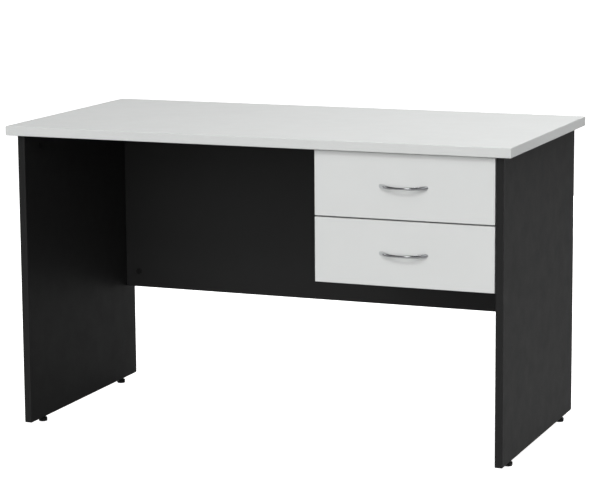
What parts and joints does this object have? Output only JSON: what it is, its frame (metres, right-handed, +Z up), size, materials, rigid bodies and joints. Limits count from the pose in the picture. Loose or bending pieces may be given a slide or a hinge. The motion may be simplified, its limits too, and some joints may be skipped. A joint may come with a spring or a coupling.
{
  "type": "writing desk with drawers",
  "caption": "Panel-end writing desk with a modesty panel, a hanging drawer pedestal on roller runners, bow handles and levelling feet.",
  "frame": {"origin": "on the floor under the middle of the desk's outline, handles included", "axes": "+Z up; +Y to the back, away from a person sitting at the desk; +X to that person's right, the drawers' side"},
  "size_m": [1.2, 0.609, 0.71],
  "materials": {
    "pale_board": "pale grey-white melamine on chipboard, fine satin texture, matching edge tape",
    "dark_board": "charcoal melamine on chipboard, fine pebbled satin texture, matching edge tape",
    "drawer_board": "pale grey foil on chipboard",
    "hardboard": "white-painted hardboard",
    "chrome": "polished chrome plate",
    "zinc_steel": "bright zinc plate",
    "runner_steel": "off-white epoxy-coated sheet steel",
    "nylon": "natural nylon",
    "black_plastic": "black moulded plastic"
  },
  "bodies": {
    "desk": {"desktop": "pale_board", "left_end_panel": "dark_board", "right_end_panel": "dark_board", "modesty_panel": "dark_board", "pedestal_left_side": "dark_board", "pedestal_right_side": "dark_board", "pedestal_bottom": "dark_board", "pedestal_back": "dark_board", "front_left_top_cam": "zinc_steel", "rear_left_top_cam": "zinc_steel", "front_right_top_cam": "zinc_steel", "rear_right_top_cam": "zinc_steel", "modesty_left_cam": "zinc_steel", "modesty_right_cam": "zinc_steel", "front_left_top_cam_bolt": "zinc_steel", "rear_left_top_cam_bolt": "zinc_steel", "front_right_top_cam_bolt": "zinc_steel", "rear_right_top_cam_bolt": "zinc_steel", "modesty_left_cam_bolt": "zinc_steel", "modesty_right_cam_bolt": "zinc_steel", "front_left_foot_insert": "zinc_steel", "rear_left_foot_insert": "zinc_steel", "front_right_foot_insert": "zinc_steel", "rear_right_foot_insert": "zinc_steel", "lower_left_pedestal_runner": "runner_steel", "lower_right_pedestal_runner": "runner_steel", "upper_left_pedestal_runner": "runner_steel", "upper_right_pedestal_runner": "runner_steel"},
    "lower_drawer": {"lower_drawer_front": "pale_board", "lower_drawer_left_side": "drawer_board", "lower_drawer_right_side": "drawer_board", "lower_drawer_back": "drawer_board", "lower_drawer_base": "hardboard", "lower_handle": "chrome", "lower_left_handle_screw": "zinc_steel", "lower_right_handle_screw": "zinc_steel", "lower_left_drawer_runner": "runner_steel", "lower_right_drawer_runner": "runner_steel"},
    "upper_drawer": {"upper_drawer_front": "pale_board", "upper_drawer_left_side": "drawer_board", "upper_drawer_right_side": "drawer_board", "upper_drawer_back": "drawer_board", "upper_drawer_base": "hardboard", "upper_handle": "chrome", "upper_left_handle_screw": "zinc_steel", "upper_right_handle_screw": "zinc_steel", "upper_left_drawer_runner": "runner_steel", "upper_right_drawer_runner": "runner_steel"},
    "lower_left_pedestal_roller_body": {"lower_left_pedestal_roller": "nylon"},
    "lower_left_drawer_roller_body": {"lower_left_drawer_roller": "nylon"},
    "lower_right_pedestal_roller_body": {"lower_right_pedestal_roller": "nylon"},
    "lower_right_drawer_roller_body": {"lower_right_drawer_roller": "nylon"},
    "upper_left_pedestal_roller_body": {"upper_left_pedestal_roller": "nylon"},
    "upper_left_drawer_roller_body": {"upper_left_drawer_roller": "nylon"},
    "upper_right_pedestal_roller_body": {"upper_right_pedestal_roller": "nylon"},
    "upper_right_drawer_roller_body": {"upper_right_drawer_roller": "nylon"},
    "front_left_foot_body": {"front_left_foot": "black_plastic"},
    "rear_left_foot_body": {"rear_left_foot": "black_plastic"},
    "front_right_foot_body": {"front_right_foot": "black_plastic"},
    "rear_right_foot_body": {"rear_right_foot": "black_plastic"}
  },
  "joints": [
    {"name": "lower_drawer_slide", "type": "slide", "parent": "desk", "child": "lower_drawer", "axis": [0, -1, 0], "range_m": [0, 0.34]},
    {"name": "upper_drawer_slide", "type": "slide", "parent": "desk", "child": "upper_drawer", "axis": [0, -1, 0], "range_m": [0, 0.34]},
    {"name": "lower_left_pedestal_roller_spin", "type": "hinge", "parent": "desk", "child": "lower_left_pedestal_roller_body", "pos_m": [0.17425, -0.2415, 0.425], "axis": [1, 0, 0], "continuous": true},
    {"name": "lower_left_drawer_roller_spin", "type": "hinge", "parent": "lower_drawer", "child": "lower_left_drawer_roller_body", "pos_m": [0.17425, 0.1825, 0.426], "axis": [1, 0, 0], "continuous": true},
    {"name": "lower_right_pedestal_roller_spin", "type": "hinge", "parent": "desk", "child": "lower_right_pedestal_roller_body", "pos_m": [0.53975, -0.2415, 0.425], "axis": [1, 0, 0], "continuous": true},
    {"name": "lower_right_drawer_roller_spin", "type": "hinge", "parent": "lower_drawer", "child": "lower_right_drawer_roller_body", "pos_m": [0.53975, 0.1825, 0.426], "axis": [1, 0, 0], "continuous": true},
    {"name": "upper_left_pedestal_roller_spin", "type": "hinge", "parent": "desk", "child": "upper_left_pedestal_roller_body", "pos_m": [0.17425, -0.2415, 0.572], "axis": [1, 0, 0], "continuous": true},
    {"name": "upper_left_drawer_roller_spin", "type": "hinge", "parent": "upper_drawer", "child": "upper_left_drawer_roller_body", "pos_m": [0.17425, 0.1825, 0.573], "axis": [1, 0, 0], "continuous": true},
    {"name": "upper_right_pedestal_roller_spin", "type": "hinge", "parent": "desk", "child": "upper_right_pedestal_roller_body", "pos_m": [0.53975, -0.2415, 0.572], "axis": [1, 0, 0], "continuous": true},
    {"name": "upper_right_drawer_roller_spin", "type": "hinge", "parent": "upper_drawer", "child": "upper_right_drawer_roller_body", "pos_m": [0.53975, 0.1825, 0.573], "axis": [1, 0, 0], "continuous": true},
    {"name": "front_left_foot_turn", "type": "hinge", "parent": "desk", "child": "front_left_foot_body", "pos_m": [-0.571, -0.203, 0.012], "axis": [0, 0, -1], "range_deg": [0, 1800]},
    {"name": "rear_left_foot_turn", "type": "hinge", "parent": "desk", "child": "rear_left_foot_body", "pos_m": [-0.571, 0.212, 0.012], "axis": [0, 0, -1], "range_deg": [0, 1800]},
    {"name": "front_right_foot_turn", "type": "hinge", "parent": "desk", "child": "front_right_foot_body", "pos_m": [0.571, -0.203, 0.012], "axis": [0, 0, -1], "range_deg": [0, 1800]},
    {"name": "rear_right_foot_turn", "type": "hinge", "parent": "desk", "child": "rear_right_foot_body", "pos_m": [0.571, 0.212, 0.012], "axis": [0, 0, -1], "range_deg": [0, 1800]}
  ],
  "couplings": [
    {"joint": "lower_left_pedestal_roller_spin", "follows": "lower_drawer_slide", "rad_per_m": 119.05},
    {"joint": "lower_left_drawer_roller_spin", "follows": "lower_drawer_slide", "rad_per_m": 106.38},
    {"joint": "lower_right_pedestal_roller_spin", "follows": "lower_drawer_slide", "rad_per_m": 119.05},
    {"joint": "lower_right_drawer_roller_spin", "follows": "lower_drawer_slide", "rad_per_m": 106.38},
    {"joint": "upper_left_pedestal_roller_spin", "follows": "upper_drawer_slide", "rad_per_m": 119.05},
    {"joint": "upper_left_drawer_roller_spin", "follows": "upper_drawer_slide", "rad_per_m": 106.38},
    {"joint": "upper_right_pedestal_roller_spin", "follows": "upper_drawer_slide", "rad_per_m": 119.05},
    {"joint": "upper_right_drawer_roller_spin", "follows": "upper_drawer_slide", "rad_per_m": 106.38}
  ]
}
